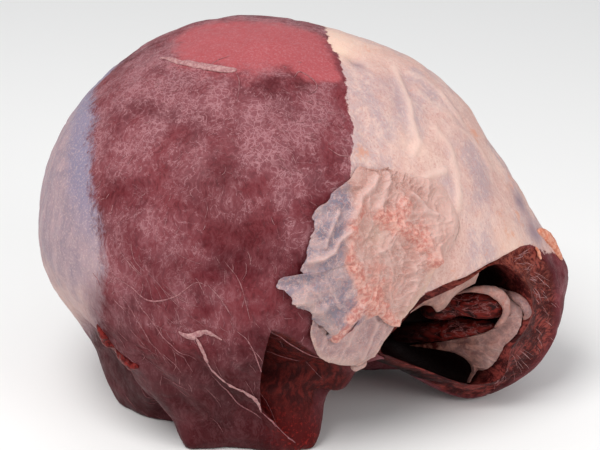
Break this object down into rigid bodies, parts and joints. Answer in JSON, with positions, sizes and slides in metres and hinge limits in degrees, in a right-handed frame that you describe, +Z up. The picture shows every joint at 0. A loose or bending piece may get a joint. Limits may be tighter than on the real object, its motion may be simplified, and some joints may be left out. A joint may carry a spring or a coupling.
{
  "type": "beef sirloin",
  "caption": "Whole raw boneless beef sirloin joint: domed muscle under silverskin, with a torn membrane flap, a slit at its foot and a hollow where the bone was.",
  "frame": {"origin": "on the board, under the middle of the joint's bounding box", "axes": "+Z up from the board, +X along the length towards the hollow, -Y towards the side with the torn membrane"},
  "size_m": [0.2673, 0.2049, 0.1914],
  "materials": {
    "raw_muscle": "moist raw beef under a thin web of connective tissue",
    "silverskin": "pale glossy membrane over muscle",
    "fat": "soft satin beef fat, pink to cream"
  },
  "bodies": {
    "root": {"sirloin": "raw_muscle"}
  },
  "joints": []
}
